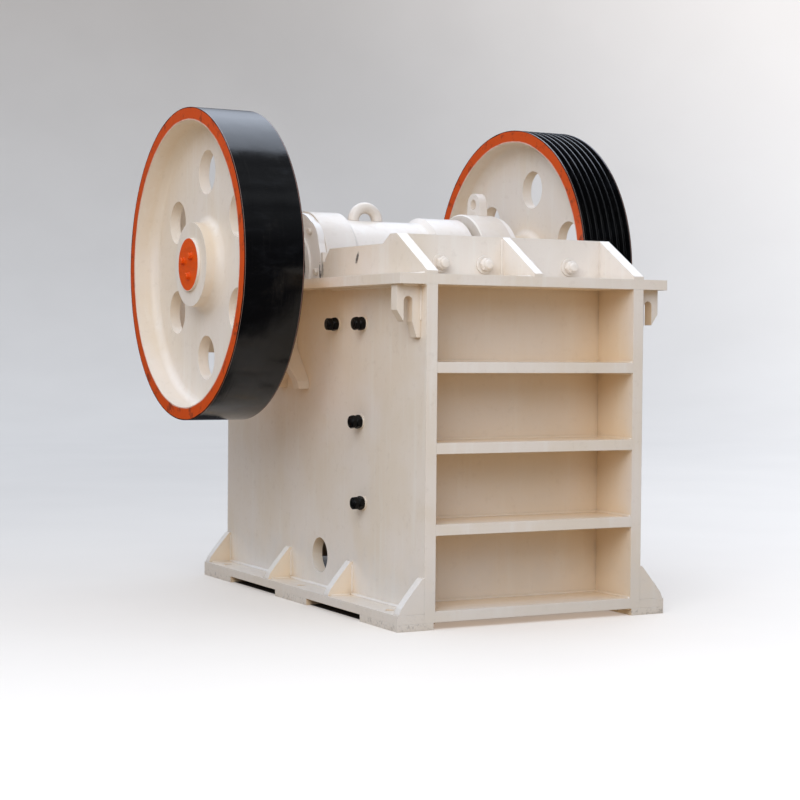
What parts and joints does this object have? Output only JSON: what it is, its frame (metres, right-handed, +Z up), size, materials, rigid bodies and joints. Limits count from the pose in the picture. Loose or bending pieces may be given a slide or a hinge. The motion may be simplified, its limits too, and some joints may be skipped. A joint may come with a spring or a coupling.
{
  "type": "jaw crusher",
  "caption": "Single-toggle jaw crusher: welded box frame with shelved front, toothed jaws, eccentric shaft, flywheel and grooved belt pulley.",
  "frame": {"origin": "centre of the four corner anchor holes, at the underside of the feet", "axes": "+Z up; -Y towards the shelved front face (the feed side's wall); +X towards the grooved pulley, -X towards the flywheel; the shaft lies along X"},
  "size_m": [2.047, 2.259, 2.295],
  "materials": {
    "cream_paint": "gloss",
    "black_gloss_paint": "gloss",
    "orange_paint": "gloss",
    "plain_steel": "machined",
    "manganese_steel": "as cast",
    "cast_iron": "as cast"
  },
  "bodies": {
    "frame": {"left_side_plate": "cream_paint", "right_side_plate": "cream_paint", "front_wall": "cream_paint", "front_shelf_1": "cream_paint", "front_shelf_2": "cream_paint", "front_shelf_3": "cream_paint", "front_shelf_4": "cream_paint", "top_flange_front": "cream_paint", "top_flange_left": "cream_paint", "top_flange_right": "cream_paint", "base_flange_left": "cream_paint", "base_flange_right": "cream_paint", "foot_pads_left": "cream_paint", "foot_pads_right": "cream_paint", "base_gussets_left": "cream_paint", "base_gussets_right": "cream_paint", "guard_gusset": "cream_paint", "lifting_hook_left": "cream_paint", "lifting_hook_right": "cream_paint", "bearing_seat_left": "cream_paint", "bearing_seat_right": "cream_paint", "rear_wall": "cream_paint", "rear_shelves": "cream_paint", "rear_beam": "cream_paint", "toggle_block": "cream_paint", "toggle_plate": "cast_iron", "cheek_plate_left": "manganese_steel", "cheek_plate_right": "manganese_steel", "fixed_jaw_plate": "manganese_steel", "moving_jaw": "cream_paint", "moving_jaw_plate": "manganese_steel", "bearing_housing_left": "cream_paint", "bearing_housing_right": "cream_paint", "bearing_cover_left": "cream_paint", "bearing_cover_right": "cream_paint", "lifting_eye_left": "cream_paint", "lifting_eye_right": "cream_paint", "tension_rod": "plain_steel", "tension_spring": "plain_steel"},
    "rotor": {"eccentric_shaft": "plain_steel", "flywheel": "black_gloss_paint", "drive_pulley": "black_gloss_paint", "shaft_end_left": "orange_paint", "shaft_end_right": "orange_paint"}
  },
  "joints": [
    {"name": "shaft_turn", "type": "hinge", "parent": "frame", "child": "rotor", "pos_m": [0, 0.239, 1.568], "axis": [1, 0, 0], "continuous": true}
  ]
}
